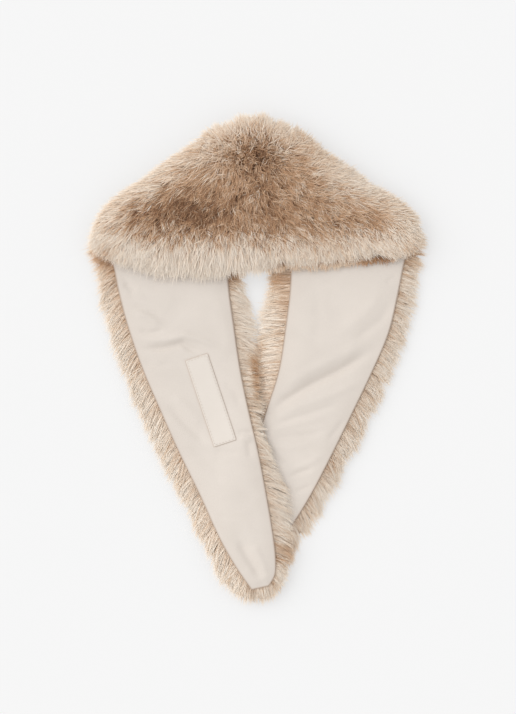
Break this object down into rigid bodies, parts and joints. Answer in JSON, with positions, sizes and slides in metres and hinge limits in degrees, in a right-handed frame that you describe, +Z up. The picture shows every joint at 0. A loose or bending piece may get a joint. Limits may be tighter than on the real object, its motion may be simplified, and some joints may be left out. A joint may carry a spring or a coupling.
{
  "type": "fur collar wrap",
  "caption": "Crescent fur collar wrap laid flat, folded over at the shoulders so its fur back lies on its lapped suede-side fronts, with a patch on one front.",
  "frame": {"origin": "on the surface that the wrap lies on, under the middle of its box", "axes": "+X to the right and +Y towards the neck in the view from above, +Z up"},
  "size_m": [0.4798, 0.691, 0.0445],
  "materials": {
    "fur": "long dense hair, brown at the root and beige at the tip",
    "suede": "fine napped suede, cream, matt",
    "patch": "fine napped suede, cream, matt, stitched round its edge"
  },
  "bodies": {
    "root": {"fur_front_right": "fur", "suede_front_right": "suede", "fur_front_left": "fur", "suede_front_left": "suede", "patch": "patch", "suede_back": "suede", "fur_back": "fur"}
  },
  "joints": []
}
